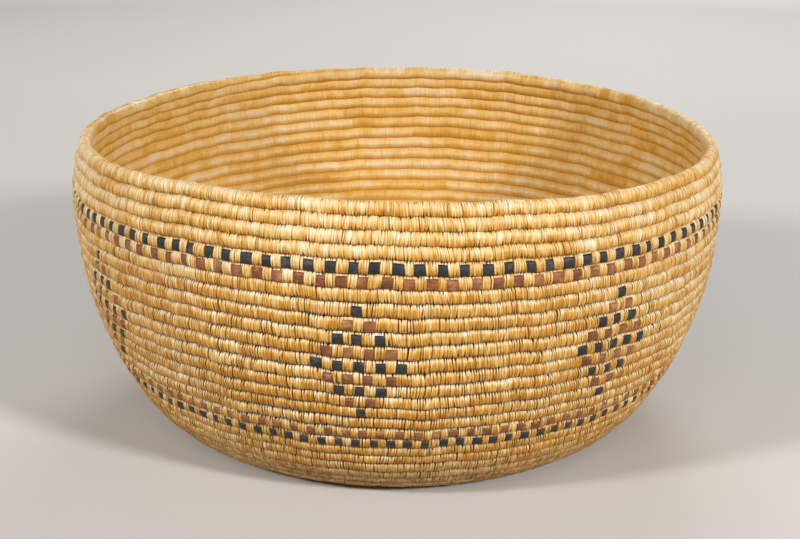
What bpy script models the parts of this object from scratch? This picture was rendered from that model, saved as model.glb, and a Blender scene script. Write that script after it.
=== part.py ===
"""Coiled grass basket: a deep open bowl with a rounded heel, built as one spiral coil.

A bundle of grass is wound round and round and sewn to the turn below it. The coil runs unbroken
from a knot in the middle of the base, out to the heel, up the wall and round the rim, where it
thins to nothing. It is modelled in the lengths that the maker works differently: base, heel,
lower bands, diamond field, upper bands and rim. Dyed strips lie along the outer face of four rows.

Rows are numbered at the front of the basket, from the rim down: row 1 is the rim. A place on the
coil is a row number with a fraction, which grows by one in each turn, down the wall and in over
the base. Angles round the basket are measured from the front (-Y), positive towards +X.
Lengths are in metres, Z is up, and the origin is the middle of the underside.
"""

import math

import bmesh
import bpy
import numpy as np

MM = 0.001

# The bowl
RIM_RADIUS = 163 * MM  # middle of the rim's coil
COIL_PITCH = 6.5 * MM  # from one turn to the next
TURN_GAP = 0.8 * MM  # left between turns, where the real ones press together
WALL_ROWS = 25  # rows that show from the rim to the heel
# Lean of the wall from upright in degrees, at evenly spaced rows from the rim to the last wall row.
# Above zero the wall draws in as it goes down.
WALL_LEANS = (-17, -3, 5, 10, 17, 27, 31, 52)
HEEL_ROWS = 3  # further rows in which the wall rolls under and lies flat

# How far the hand-made rim strays from level and where it is highest, in degrees from the front
RIM_TILT = 1.7 * MM
RIM_TILT_HIGH_SIDE = 168
RIM_SADDLE = 2.25 * MM
RIM_SADDLE_HIGH_SIDE = -8

# How the coil is drawn
STEPS_A_TURN = 24
SMALL_TURN_RADIUS = 36 * MM  # turns inside this are drawn with half the steps
SEAM_STEPS_BEFORE = 11.5  # from the front, clockwise from above, to the seam where rows change
END_GAP = 0.3 * MM  # between the ends of two lengths of coil
CUT_SHARE = 0.1  # of the coil's thickness, taken off where it rests
END_THICKNESS_SHARE = 0.35  # of the full thickness, at the rim's end and the coil's start
RIM_TAPER_STEPS = 3
START_TAPER_STEPS = 12

# The knot that the coil starts from
START_ROWS = 1.3  # rows between the middle of the base and the start of the coil
KNOT_GAP = 0.3 * MM
KNOT_SIDES = 24
KNOT_ROUNDING_STEPS = 5

# Dyed strips laid along the face of a row
STRIP_WIDTH = 4.4 * MM
STRIP_THICKNESS = 0.45 * MM
STRIP_GAP = 0.3 * MM

# Rows at which each length of coil ends, from the rim down
RIM_LAST_ROW = 1
UPPER_LAST_ROW = 7
DIAMOND_LAST_ROW = 16
LOWER_LAST_ROW = 21
HEEL_LAST_ROW = WALL_ROWS

# Rows that carry a dyed strip
UPPER_BLACK_ROW = 5
UPPER_BROWN_ROW = 6
LOWER_BROWN_ROW = 18
LOWER_BLACK_ROW = 19

SIDES = 6  # of the drawn coil, with flats towards the next turn
BEVEL_RESOLUTION = 1  # gives that many sides
SECTION_STEPS_A_ROW = 48  # for adding up the wall's leans
POINTS_A_SIDE = 6  # on which the gap between turns is measured

COIL_HALF_WIDTH = (COIL_PITCH - TURN_GAP) / 2
COIL_RADIUS = COIL_HALF_WIDTH / math.cos(math.pi / SIDES)
BASE_HEIGHT = COIL_RADIUS * (1 - 2 * CUT_SHARE)


def clear_scene():
    for old in list(bpy.data.objects):
        bpy.data.objects.remove(old, do_unlink=True)


def new_collection(name):
    collection = bpy.data.collections.new(name)
    bpy.context.scene.collection.children.link(collection)
    return collection


def material(name, colour, roughness):
    """A plain Principled material: grass and dyed strips have no metal in them."""
    made = bpy.data.materials.new(name)
    made.use_nodes = True
    shader = made.node_tree.nodes["Principled BSDF"]
    shader.inputs["Base Color"].default_value = (*colour, 1)
    shader.inputs["Roughness"].default_value = roughness
    shader.inputs["Metallic"].default_value = 0
    return made


def lean(row):
    """Angle of the section from upright at a place on the coil, in radians. The base lies at 90."""
    wall_rows = np.linspace(1, WALL_ROWS, len(WALL_LEANS))
    rows = np.append(wall_rows, WALL_ROWS + HEEL_ROWS)
    return np.radians(np.interp(row, rows, (*WALL_LEANS, 90)))


def section_table():
    """Rows, radii and heights down the section, by adding up the steps that the leans give."""
    top, bottom = 0, WALL_ROWS + HEEL_ROWS
    rows = np.linspace(top, bottom, (bottom - top) * SECTION_STEPS_A_ROW + 1)
    middles = (rows[1:] + rows[:-1]) / 2
    step = COIL_PITCH / SECTION_STEPS_A_ROW
    inward = np.append(0, np.cumsum(np.sin(lean(middles)) * step))
    down = np.append(0, np.cumsum(np.cos(lean(middles)) * step))
    inward -= np.interp(1, rows, inward)
    return rows, RIM_RADIUS - inward, BASE_HEIGHT + down[-1] - down


ROWS, RADII, HEIGHTS = section_table()
FLAT_ROW = ROWS[-1]  # the first row that lies flat
FLAT_RADIUS = RADII[-1]
RIM_HEIGHT = float(np.interp(1, ROWS, HEIGHTS))
LAST_ROW = FLAT_ROW + FLAT_RADIUS / COIL_PITCH - START_ROWS


def section(row):
    """Radius and height of the coil's middle at a place on it, before the rim's sway."""
    past_flat = max(row - FLAT_ROW, 0)
    radius = np.interp(row, ROWS, RADII) - past_flat * COIL_PITCH
    return float(radius), float(np.interp(row, ROWS, HEIGHTS))


def sway(angle, height):
    """How far the coil lies above its level place: nothing at the base, most at the rim."""
    tilt = RIM_TILT * math.cos(angle - math.radians(RIM_TILT_HIGH_SIDE))
    saddle = RIM_SADDLE * math.cos(2 * (angle - math.radians(RIM_SADDLE_HIGH_SIDE)))
    share = (height - BASE_HEIGHT) / (RIM_HEIGHT - BASE_HEIGHT)
    return share * (tilt + saddle)


def coil_point(step, sunk_rows=0):
    """Middle of the coil a number of steps along it, or of a thin end sunk towards the row below."""
    angle = 2 * math.pi * step / STEPS_A_TURN
    radius, height = section(step / STEPS_A_TURN + sunk_rows)
    height += sway(angle, height)
    return np.array((radius * math.sin(angle), -radius * math.cos(angle), height))


def seam_step(row):
    """Place in steps of the seam above a row, where one length of coil ends and the next begins."""
    return row * STEPS_A_TURN - SEAM_STEPS_BEFORE


RIM_END = seam_step(1)
COIL_START = 2 * math.floor(LAST_ROW * STEPS_A_TURN / 2)


def thickness_share(step):
    """Full thickness everywhere but at the rim's end and at the coil's start."""
    from_rim_end = (step - RIM_END) / RIM_TAPER_STEPS
    from_start = (COIL_START - step) / START_TAPER_STEPS
    nearest = min(from_rim_end, from_start, 1)
    return END_THICKNESS_SHARE + (1 - END_THICKNESS_SHARE) * nearest


def sunk_rows(step):
    """A thin rim end lies down on the row below it, and the coil's start on the turn outside it."""
    spare = (1 - thickness_share(step)) * COIL_HALF_WIDTH / COIL_PITCH
    return spare if step < WALL_ROWS * STEPS_A_TURN else -spare


def steps_between(first, last):
    """Whole steps inside a length of coil, fewer where the turns are small."""
    inside = range(math.ceil(first), math.floor(last) + 1)

    def is_drawn(step):
        radius, _ = section(step / STEPS_A_TURN)
        return radius > SMALL_TURN_RADIUS or step % 2 == 0

    return [step for step in inside if is_drawn(step)]


def end_point(step, inner_step):
    """End of a length, on the straight between two steps, drawn back by half the gap."""
    before = coil_point(math.floor(step), sunk_rows(math.floor(step)))
    after = coil_point(math.ceil(step), sunk_rows(math.ceil(step)))
    middle = (before + after) / 2
    inner = coil_point(inner_step, sunk_rows(inner_step))
    along = (inner - middle) / np.linalg.norm(inner - middle)
    return middle + along * END_GAP / 2


def coil_route(first, last):
    """Points of a length of coil, with the place of each in steps."""
    steps = steps_between(first, last)
    points = [end_point(first, steps[0])]
    points += [coil_point(step, sunk_rows(step)) for step in steps]
    if last < COIL_START:
        points.append(end_point(last, steps[-1]))
        steps = [*steps, last]
    return [first, *steps], points


def spline_object(name, collection, steps, points, thickness):
    """An open curve through points, turned at each so that its section leans with the wall."""
    curve = bpy.data.curves.new(name, "CURVE")
    curve.dimensions = "3D"
    curve.twist_mode = "Z_UP"
    curve.use_fill_caps = True
    spline = curve.splines.new("POLY")
    spline.points.add(len(points) - 1)
    for slot, step, point, share in zip(spline.points, steps, points, thickness):
        slot.co = (*point, 1)
        slot.tilt = float(lean(step / STEPS_A_TURN))
        slot.radius = share
    made = bpy.data.objects.new(name, curve)
    collection.objects.link(made)
    return made


def coil_length(name, collection, finish, first, last):
    """One length of the coil between two places in steps."""
    steps, points = coil_route(first, last)
    shares = [thickness_share(step) for step in steps]
    made = spline_object(name, collection, steps, points, shares)
    made.data.bevel_depth = COIL_RADIUS
    made.data.bevel_resolution = BEVEL_RESOLUTION
    made.data.materials.append(finish)
    return made


def strip_profile(collection):
    """Section of a dyed strip: it lies on the two outer flats of the coil, folded on their ridge."""
    fold = math.pi / SIDES
    half = STRIP_WIDTH / 2
    inner = COIL_RADIUS + STRIP_GAP / math.cos(fold)
    outer = inner + STRIP_THICKNESS / math.cos(fold)
    back = half * math.tan(fold)
    corners = [(inner - back, -half), (inner, 0), (inner - back, half)]
    corners += [(outer - back, half), (outer, 0), (outer - back, -half)]
    curve = bpy.data.curves.new("strip_profile", "CURVE")
    curve.dimensions = "2D"
    spline = curve.splines.new("POLY")
    spline.points.add(len(corners) - 1)
    for slot, (out, up) in zip(spline.points, corners):
        slot.co = (out, up, 0, 1)
    spline.use_cyclic_u = True
    made = bpy.data.objects.new("strip_profile", curve)
    made.hide_render = True
    made.display_type = "WIRE"
    collection.objects.link(made)
    return made


def dyed_strip(name, collection, finish, profile, row):
    """A strip once round the basket on the outer face of one row."""
    steps, points = coil_route(seam_step(row), seam_step(row + 1))
    made = spline_object(name, collection, steps, points, [1] * len(steps))
    made.data.bevel_mode = "OBJECT"
    made.data.bevel_object = profile
    made.data.materials.append(finish)
    return made


def as_mesh(source, collection):
    """The same piece as a mesh with its caps welded, so that it can be cut."""
    graph = bpy.context.evaluated_depsgraph_get()
    mesh = bpy.data.meshes.new_from_object(source.evaluated_get(graph))
    shape = bmesh.new()
    shape.from_mesh(mesh)
    bmesh.ops.remove_doubles(shape, verts=shape.verts, dist=COIL_RADIUS / 1000)
    shape.to_mesh(mesh)
    shape.free()
    name, placed = source.name, source.matrix_world.copy()
    bpy.data.objects.remove(source, do_unlink=True)
    made = bpy.data.objects.new(name, mesh)
    made.matrix_world = placed
    collection.objects.link(made)
    return made


def cut_flat(piece, cutters):
    """Takes off what lies below the floor, so that the base stands on a flat."""
    half = 2 * FLAT_RADIUS
    shape = bmesh.new()
    bmesh.ops.create_cube(shape, size=2 * half)
    mesh = bpy.data.meshes.new("floor_cutter")
    shape.to_mesh(mesh)
    shape.free()
    cutter = bpy.data.objects.new("floor_cutter", mesh)
    cutter.location = (0, 0, -half)
    cutter.hide_render = True
    cutter.display_type = "WIRE"
    cutters.objects.link(cutter)
    cut = piece.modifiers.new("flat underside", "BOOLEAN")
    cut.operation = "DIFFERENCE"
    cut.object = cutter


def knot_radius():
    """The room left inside the first turn, whose straights come nearest to the middle."""
    straight = math.cos(2 * math.pi / STEPS_A_TURN)
    room = []
    for step in steps_between(COIL_START - STEPS_A_TURN, COIL_START):
        radius, _ = section(step / STEPS_A_TURN + sunk_rows(step))
        room.append(radius * straight - COIL_HALF_WIDTH * thickness_share(step))
    return min(room) - KNOT_GAP


def start_knot(collection, finish):
    """The knot in the middle of the base: a low round button, turned."""
    radius = knot_radius()
    top = 2 * BASE_HEIGHT
    rounding = top / 2
    outline = [(0, top)]
    for turn in range(KNOT_ROUNDING_STEPS + 1):
        angle = math.pi / 2 * (1 - turn / KNOT_ROUNDING_STEPS)
        outline.append((radius - rounding + rounding * math.cos(angle), top - rounding + rounding * math.sin(angle)))
    outline += [(radius, 0), (0, 0)]
    mesh = bpy.data.meshes.new("start_knot")
    points = [(out, 0, up) for out, up in outline]
    mesh.from_pydata(points, [(n, n + 1) for n in range(len(points) - 1)], [])
    made = bpy.data.objects.new("start_knot", mesh)
    turned = made.modifiers.new("turned", "SCREW")
    turned.steps = KNOT_SIDES
    turned.render_steps = KNOT_SIDES
    turned.use_merge_vertices = True
    turned.merge_threshold = COIL_RADIUS / 1000
    mesh.materials.append(finish)
    collection.objects.link(made)
    return made


def section_points(step):
    """Points round the outline of the drawn coil's section at a step."""
    angle = 2 * math.pi * step / STEPS_A_TURN
    turned = float(lean(step / STEPS_A_TURN))
    around = np.arange(SIDES + 1) * 2 * math.pi / SIDES - turned
    radius = COIL_RADIUS * thickness_share(step)
    out = radius * np.cos(around)
    up = radius * np.sin(around)
    corners = np.stack((out * math.sin(angle), -out * math.cos(angle), up), axis=1)
    along = np.linspace(0, 1, POINTS_A_SIDE, endpoint=False)[:, None]
    sides = [start + along * (end - start) for start, end in zip(corners[:-1], corners[1:])]
    return coil_point(step, sunk_rows(step)) + np.concatenate(sides)


def least_gap():
    """Least gap between the coil and its own next turn, measured on points of both outlines."""
    steps = steps_between(RIM_END, COIL_START)
    outlines = {step: section_points(step) for step in steps}
    for before, after in zip(steps[:-1], steps[1:]):
        outlines[(before + after) / 2] = (outlines[before] + outlines[after]) / 2
    gaps = []
    for place, outline in outlines.items():
        below = outlines.get(place + STEPS_A_TURN)
        if below is not None:
            apart = outline[:, None] - below[None]
            gaps.append(np.linalg.norm(apart, axis=2).min())
    return min(gaps)


def build():
    clear_scene()
    basket = new_collection("coiled_basket")
    cutters = new_collection("cutters")

    grass = material("natural_grass", (0.62, 0.42, 0.18), 0.55)
    worn = material("worn_grass", (0.36, 0.25, 0.12), 0.7)
    black = material("black_strip", (0.025, 0.027, 0.033), 0.5)
    brown = material("brown_strip", (0.17, 0.06, 0.035), 0.5)

    def length_of_coil(name, finish, first_row, end_row):
        return coil_length(name, basket, finish, seam_step(first_row), seam_step(end_row + 1))

    length_of_coil("rim_coil", grass, 1, RIM_LAST_ROW)
    length_of_coil("upper_wall_coil", grass, RIM_LAST_ROW + 1, UPPER_LAST_ROW)
    length_of_coil("diamond_wall_coil", grass, UPPER_LAST_ROW + 1, DIAMOND_LAST_ROW)
    length_of_coil("lower_wall_coil", grass, DIAMOND_LAST_ROW + 1, LOWER_LAST_ROW)
    length_of_coil("heel_coil", worn, LOWER_LAST_ROW + 1, HEEL_LAST_ROW)
    base = coil_length("base_coil", basket, worn, seam_step(HEEL_LAST_ROW + 1), COIL_START)
    cut_flat(as_mesh(base, basket), cutters)
    start_knot(basket, worn)

    profile = strip_profile(cutters)
    dyed_strip("upper_black_strip", basket, black, profile, UPPER_BLACK_ROW)
    dyed_strip("upper_brown_strip", basket, brown, profile, UPPER_BROWN_ROW)
    dyed_strip("lower_brown_strip", basket, brown, profile, LOWER_BROWN_ROW)
    dyed_strip("lower_black_strip", basket, black, profile, LOWER_BLACK_ROW)

    print(f"least gap between the coil's turns: {least_gap() / MM:.2f} mm")


build()
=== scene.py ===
"""A coiled grass basket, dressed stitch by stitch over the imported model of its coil.

The real basket is one bundle of grass wound in a spiral and sewn turn to turn with split grass.
Here every stitch is worked out along that spiral, and the dyed strips weave under and over them.
"""

import bpy
import numpy as np
from mathutils import Matrix, Vector


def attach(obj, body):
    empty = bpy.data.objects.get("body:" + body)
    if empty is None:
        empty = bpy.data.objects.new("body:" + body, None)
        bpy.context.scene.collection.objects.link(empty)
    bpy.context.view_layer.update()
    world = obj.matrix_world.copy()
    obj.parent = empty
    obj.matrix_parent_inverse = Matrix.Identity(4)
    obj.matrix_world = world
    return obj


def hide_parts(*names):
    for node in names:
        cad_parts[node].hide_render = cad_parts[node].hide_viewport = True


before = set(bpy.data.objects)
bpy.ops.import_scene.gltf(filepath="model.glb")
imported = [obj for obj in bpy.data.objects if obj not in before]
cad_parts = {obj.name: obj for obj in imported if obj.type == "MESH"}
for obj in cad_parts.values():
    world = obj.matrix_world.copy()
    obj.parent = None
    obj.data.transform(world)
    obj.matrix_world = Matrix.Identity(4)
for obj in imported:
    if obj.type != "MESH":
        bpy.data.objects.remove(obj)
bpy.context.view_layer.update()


# The coil: a bundle of grass from the middle of the base out to the heel, up the wall and round
# the rim. A place on it is a row number with a fraction, counted from the rim down at the front.
# Angles run from the front (-Y) towards the right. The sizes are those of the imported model.
MM = 0.001
RIM_RADIUS = 163 * MM
COIL_PITCH = 6.5 * MM
WALL_ROWS = 25
HEEL_ROWS = 3
WALL_LEANS = (-17, -3, 5, 10, 17, 27, 31, 52)  # degrees from upright, at even rows down the wall
BASE_HEIGHT = 2.63 * MM
RIM_TILT = 1.7 * MM
RIM_TILT_HIGH_SIDE = np.radians(168)
RIM_SADDLE = 2.25 * MM
RIM_SADDLE_HIGH_SIDE = np.radians(-8)
SEAM_SHARE = 11.5 / 24  # of a turn, from the front to where the rows change over
START_ROWS = 1.3  # from the middle of the base to the start of the coil
WAVES = (2, 3, 5, 8, 13, 21, 34, 55)  # of the maker's unevenness, in each turn
DOWN_WANDER = 0.4 * MM
OUT_WANDER = 0.4 * MM
STEADY_SHARE = 0.25  # of the height, over which that unevenness comes in above the flat base
RISE_ANGLES = (-180, -150, -120, -90, -60, -30, 0, 30, 60, 90, 180)  # degrees from the front
RISES = {
    # row: how far it sits above even steps at those angles, in mm
    1: (0, -0.5, -3.0, -1.5, -0.8, 0.1, -0.4, -1.5, -0.2, -0.6, 0),
    4: (0.8, 0.4, -0.3, -0.1, -0.5, 0.8, 0.9, -0.7, 1.8, 0.9, 0.8),
    7: (1.0, 0.8, 0.6, 0.6, 0.6, 2.5, 1.1, 0.8, 1.9, 1.3, 1.0),
    10: (0.4, 0.3, 0.3, 0.4, 0.9, 2.6, -0.4, 1.6, 1.1, 0.6, 0.4),
    13: (-0.2, -0.2, -0.2, -0.1, 0.4, 1.8, -1.7, 1.2, 0.4, 0, -0.2),
    16: (0, 0, 0, 0.1, 0.4, 1.3, -0.6, -0.1, 0.3, 0.1, 0),
    19: (0, 0, 0, 0, -0.3, -0.6, -0.9, -0.7, 0.1, 0, 0),
    25: (0, 0, 0, 0, 0, 0, 0, 0, 0, 0, 0),
}


def coil_lean(rows):
    """Angle of the wall from upright: straight runs between leans at even rows, then to flat."""
    places = np.append(np.linspace(1, WALL_ROWS, len(WALL_LEANS)), WALL_ROWS + HEEL_ROWS)
    return np.radians(np.interp(rows, places, (*WALL_LEANS, 90)))


def wall_section(steps=48):
    """Rows, radii and heights down the section: each step of a row goes in by the sine of the lean
    and down by its cosine."""
    flat = WALL_ROWS + HEEL_ROWS
    rows = np.linspace(0, flat, flat * steps + 1)
    lean = coil_lean((rows[1:] + rows[:-1]) / 2)
    inward = np.append(0, np.cumsum(np.sin(lean))) * COIL_PITCH / steps
    down = np.append(0, np.cumsum(np.cos(lean))) * COIL_PITCH / steps
    return rows, RIM_RADIUS + inward[steps] - inward, BASE_HEIGHT + down[-1] - down


SECTION_ROWS, SECTION_RADII, SECTION_HEIGHTS = wall_section()
RIM_HEIGHT = np.interp(1, SECTION_ROWS, SECTION_HEIGHTS)
START_ROW = SECTION_ROWS[-1] + SECTION_RADII[-1] / COIL_PITCH - START_ROWS


def seam(row):
    """Place at the back where the row above ends and this row begins."""
    return row - SEAM_SHARE


def coil_radius(rows):
    """The section's radius, less a pitch for each turn past the first flat one."""
    past_flat = np.maximum(rows - SECTION_ROWS[-1], 0)
    return np.interp(rows, SECTION_ROWS, SECTION_RADII) - past_flat * COIL_PITCH


def wander(rows, seed):
    """Slow unevenness, mostly within one either way: sine waves round the basket, whose phases
    slide a little from each row to the next."""
    chance = np.random.default_rng(seed)
    total = np.zeros_like(rows)
    for waves in WAVES:
        slide, start = chance.uniform(-1, 1), chance.uniform(0, 2 * np.pi)
        total += np.sin((2 * np.pi * waves + slide) * rows + start)
    return total / np.sqrt(len(WAVES))


def rise(rows):
    """How far the coil sits above even steps: between the table's places it goes in straight lines,
    both round the basket and from row to row."""
    angle = 360 * (rows - np.round(rows))
    nearness = np.eye(len(RISES))
    lines = zip(nearness, RISES.values())
    table = [
        np.interp(rows, tuple(RISES), near) * np.interp(angle, RISE_ANGLES, line)
        for near, line in lines
    ]
    return sum(table) * MM


def coil_line(rows, sunk=0):
    """Middle of the coil, and the directions out of the wall and up along it.

    The middle is at the section's radius and height, at a full turn of angle for each row, and the
    height gains the rim's sway: a tilt and a saddle, none at the base and all of it at the rim. A
    thin end is sunk by a share of a row towards the turn that it lies on."""
    angle = 2 * np.pi * rows
    lean = coil_lean(rows + sunk)
    radius = coil_radius(rows + sunk)
    height = np.interp(rows + sunk, SECTION_ROWS, SECTION_HEIGHTS)
    tilt = RIM_TILT * np.cos(angle - RIM_TILT_HIGH_SIDE)
    saddle = RIM_SADDLE * np.cos(2 * (angle - RIM_SADDLE_HIGH_SIDE))
    up_share = (height - BASE_HEIGHT) / (RIM_HEIGHT - BASE_HEIGHT)
    height = height + up_share * (tilt + saddle)

    def directed(sideways, upwards):
        return np.stack((sideways * np.sin(angle), -sideways * np.cos(angle), upwards), axis=-1)

    out = directed(np.cos(lean), -np.sin(lean))
    up = directed(np.sin(lean), np.cos(lean))
    middle = directed(radius, height)
    uneven = np.clip(up_share / STEADY_SHARE, 0, 1)[..., None]
    middle += uneven * out * wander(rows, 1)[..., None] * OUT_WANDER
    middle += uneven * up * wander(rows, 2)[..., None] * DOWN_WANDER
    middle += up * rise(rows)[..., None]
    return middle, out, up


# The sewing: split grass stitched over the coil and through the turn below, about 800 stitches in
# a round. Each strand sews some two dozen before the next is spliced in, so that tones change in
# stretches.
STITCH_WIDTH = 1.27 * MM
BASE_STITCH_WIDTH = 1.6 * MM
STITCH_UNEVEN_SHARE = 0.17
MOST_UNEVEN_SHARE = 0.38
STRAND_STITCHES = (6, 45)  # fewest, and one past the most
SEWING_STEPS = 40_000  # along the whole coil, at which its run is measured
STRAND_TONE_SPREAD = 0.6
STITCH_TONE_SPREAD = 0.8
SWELL_SPREAD = 0.1 * MM
REACH_SPREAD = 0.3 * MM
FACE_GAPS = (0.9, 0.36)  # shape and scale of the chances of a gap, where one is a full notch
FOOT_GAPS = (1.3, 0.85)
TIP_GAPS = (1.5, 0.7)
SPLICE_GAPS = (2, 0.3)
WIDEST_GAP = 2.0


def sew():
    """Places of the edges of every stitch, from the rim's end to the coil's start.

    The run along the coil is divided by the width of a stitch there, and each whole number of
    stitches is an edge, moved a little either way."""
    rows = np.linspace(seam(1), START_ROW, SEWING_STEPS)
    middle = coil_line(rows)[0]
    run = np.linalg.norm(np.diff(middle, axis=0), axis=1)
    width = np.where(rows[1:] < seam(WALL_ROWS + 1), STITCH_WIDTH, BASE_STITCH_WIDTH)
    counted = np.append(0, np.cumsum(run / width))
    numbers = np.arange(int(counted[-1]))
    uneven = sewing.normal(0, STITCH_UNEVEN_SHARE, len(numbers))
    moved = numbers + uneven.clip(-MOST_UNEVEN_SHARE, MOST_UNEVEN_SHARE)
    return np.interp(moved, counted, rows)


def strand_numbers():
    """The number of the strand that each stitch is sewn with."""
    lengths = sewing.integers(*STRAND_STITCHES, size=len(stitch_edges))
    return np.repeat(np.arange(len(lengths)), lengths)[: len(stitch_edges)]


sewing = np.random.default_rng(11)
stitch_edges = sew()
stitch_count = len(stitch_edges)
strands = strand_numbers()
strand_tone = sewing.normal(0, STRAND_TONE_SPREAD, strands[-1] + 1)[strands]
strand_swell = sewing.normal(0, SWELL_SPREAD, strands[-1] + 1)[strands]
stitch_tone = sewing.normal(0, STITCH_TONE_SPREAD, stitch_count)
stitch_swell = sewing.normal(0, SWELL_SPREAD, stitch_count)
stitch_reach = sewing.normal(0, REACH_SPREAD, stitch_count)
face_gap = sewing.gamma(*FACE_GAPS, stitch_count)
foot_gap = sewing.gamma(*FOOT_GAPS, stitch_count)
tip_gap = sewing.gamma(*TIP_GAPS, stitch_count)
spliced = np.append(False, np.diff(strands) > 0)
face_gap[spliced] += sewing.gamma(*SPLICE_GAPS, spliced.sum())


# Where the dyed strips lie: the natural stitches go over a strip and under it in turn, so that it
# shows as blocks. Bands run right round four rows, and seven diamonds of nine rows lie between.
BAND_BLOCKS = 110
LOWER_BAND_BLOCKS = 117
DIAMOND_ANGLES = (-58.7, -5.8, 37, 89, 141, 195, 249)  # degrees from the front
DIAMOND_BLOCKS = (1, 2, 3, 4, 5, 4, 3, 2, 1)  # in each row, from the top
DIAMOND_FIRST_ROW = 8
BLOCK_SHARE = 0.46  # of the way from one block to the next
BLOCK_SHIFT_SPREAD = 0.04  # of that way
MOST_BLOCK_SHIFT = 0.08
BLOCK_WIDTH_SPREAD = 0.11  # of a block's width
BLOCK_WIDTH_LIMITS = (0.75, 1.25)
FIRST_BLOCK = 0.75  # blocks from a band's seam to the middle of its first block
BANDS = {
    # name: row, blocks in a round, share of a block by which they are moved round
    "upper_black_strip": (5, BAND_BLOCKS, 0.0),
    "upper_brown_strip": (6, BAND_BLOCKS, 0.5),
    "lower_brown_strip": (18, LOWER_BAND_BLOCKS, 0.5),
    "lower_black_strip": (19, LOWER_BAND_BLOCKS, 0.0),
}


def nearest_edges(places):
    """The stitch edges nearest to some places."""
    after = np.searchsorted(stitch_edges, places).clip(1, stitch_count - 1)
    before_is_nearer = places - stitch_edges[after - 1] < stitch_edges[after] - places
    return after - before_is_nearer


def uneven_blocks(middles, pitch):
    """Places where blocks begin and end: each is a share of the pitch wide, a little uneven."""
    shift = laying.normal(0, BLOCK_SHIFT_SPREAD, len(middles))
    middles = middles + shift.clip(-MOST_BLOCK_SHIFT, MOST_BLOCK_SHIFT) * pitch
    width = laying.normal(1, BLOCK_WIDTH_SPREAD, len(middles)).clip(*BLOCK_WIDTH_LIMITS)
    half = BLOCK_SHARE / 2 * pitch * width
    return np.stack((middles - half, middles + half), axis=1)


def band_blocks(row, count, moved):
    """Blocks at even steps right round a row, inside its two seams."""
    pitch = 1 / count
    middles = seam(row) + (np.arange(count - 1) + FIRST_BLOCK + moved) * pitch
    return uneven_blocks(middles, pitch)


def diamond_blocks(angle, line):
    """Blocks of one row of a diamond, evenly spaced about its middle."""
    pitch = 1 / BAND_BLOCKS
    count = DIAMOND_BLOCKS[line]
    turn = angle / 360
    row = DIAMOND_FIRST_ROW + line + turn - (turn > 1 - SEAM_SHARE)
    return uneven_blocks(row + (np.arange(count) - (count - 1) / 2) * pitch, pitch)


laying = np.random.default_rng(5)
strip_places = {name: [band_blocks(*band)] for name, band in BANDS.items()}
strip_places["diamond_black_strips"] = []
strip_places["diamond_brown_strips"] = []
for angle in DIAMOND_ANGLES:
    for line in range(len(DIAMOND_BLOCKS)):
        name = "diamond_brown_strips" if line % 2 else "diamond_black_strips"
        strip_places[name].append(diamond_blocks(angle, line))

# The stitches slide along a little, so that one begins or ends wherever a block does
block_ends = np.concatenate([places.ravel() for laid in strip_places.values() for places in laid])
block_ends = np.sort(block_ends)
at_ends = nearest_edges(block_ends)
slide = block_ends - stitch_edges[at_ends]
stitch_edges += np.interp(np.arange(stitch_count), at_ends, slide)
strip_blocks = {
    name: [nearest_edges(places) for places in laid] for name, laid in strip_places.items()
}

# Stitches over a strip stand proud, most in the middle of their bundle, and those under it are
# held down. The edges of a bundle are drawn together at its ends by a share of its width.
BUNDLE_PINCH_SHARE = 0.05
EDGE_LIFT_SHARE = 0.7
CROWN_LIFT_SHARE = 1.2
stitch_lift = np.zeros(stitch_count)
edge_pull = np.zeros(stitch_count)
for laid in strip_blocks.values():
    for blocks in laid:
        for first, end in blocks:
            stitch_lift[first:end] = -1
        for first, end in zip(blocks[:-1, 1], blocks[1:, 0]):
            across = (np.arange(first, end) + 0.5 - first) / (end - first)
            crown = CROWN_LIFT_SHARE * across * (1 - across)
            stitch_lift[first:end] = EDGE_LIFT_SHARE + crown
            edges = stitch_edges[first : end + 1]
            edge_pull[first : end + 1] = (edges.mean() - edges) * 2 * BUNDLE_PINCH_SHARE


# The sewn surface of the coil, seen as fine ribs across each row: the stitch tops stand up in
# points against the row above, and notches lie between them, darkened with painted shade. Each row
# also has a painted highlight over its top and painted shade on its lower face. Inside, the ribs
# are faint.
HALF_THICKNESS = 3.35 * MM
HALF_WIDTH = 3.45 * MM
TOP_REACH = 0.25 * MM  # further, for the tops of the stitches
INSIDE_HALF_WIDTH = 4.0 * MM  # inside, the turns press into each other
SHOULDER_FULLNESS = 2.3  # power of the section's curve above its middle: 2 is round
FOOT_ROWS = (10, 17)
FOOT_FULLNESS = (3.1, 2.4)  # at those rows: the creases are deeper low down
INSIDE_FULLNESS = 2.2
WORN_FULLNESS = 1.5  # more, where the heel is rubbed flat
WEAR_STARTS = 21.3  # row, and the rows over which it comes in
WEAR_ROWS = 1.4
RIM_HIGHLIGHT_ROWS = (4, 8)  # between which the painted highlight of the rim's rows, low on their faces, gives way to the painted highlight on the tops of the other rows
SHADE_DEPTH_ROWS = (1, 4, 8, 17, 21)
SHADE_DEPTH_SHARES = (0.6, 0.8, 1.25, 1.75, 1.9)  # depth of the painted shade in gaps and creases at those rows, outside
SHADE_DEPTH_DULLS = 2.1  # tones of painted shade that it takes off the stitches, darker down the wall and lighter near the rim
INNER_AT_SIDES = 0.3  # how far the coil straight above and below its middle counts as inside
INNER_GAIN = 1.6  # more for each unit of its width further in
FACE_COSINE = -0.01  # of the last ring angle that counts as the outer face
INSIDE_COSINE = -0.1  # of the first that counts as inside
DEEPEST_GAP = 1.4
WEAR_TAKES = {"reach": 0.6, "notch": 0.5, "recess_shade": 0.4, "highlight_and_shade": 0.8}  # shares, where all worn; two of them are of painted shade and painted highlight
INSIDE_TAKES = {"wear": 0.8, "stitch_tone": 0.6}  # shares, inside
COLUMN_SHARES = np.array((0, 0.3, 0.7))  # across a stitch: its edge, then its flat
RING_COLUMNS = (
    *("angle", "depth", "face", "foot", "tip", "reach", "pinch", "lift", "crease_shade", "highlight_and_shade"),
    "rim_highlight_and_shade",
)
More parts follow.
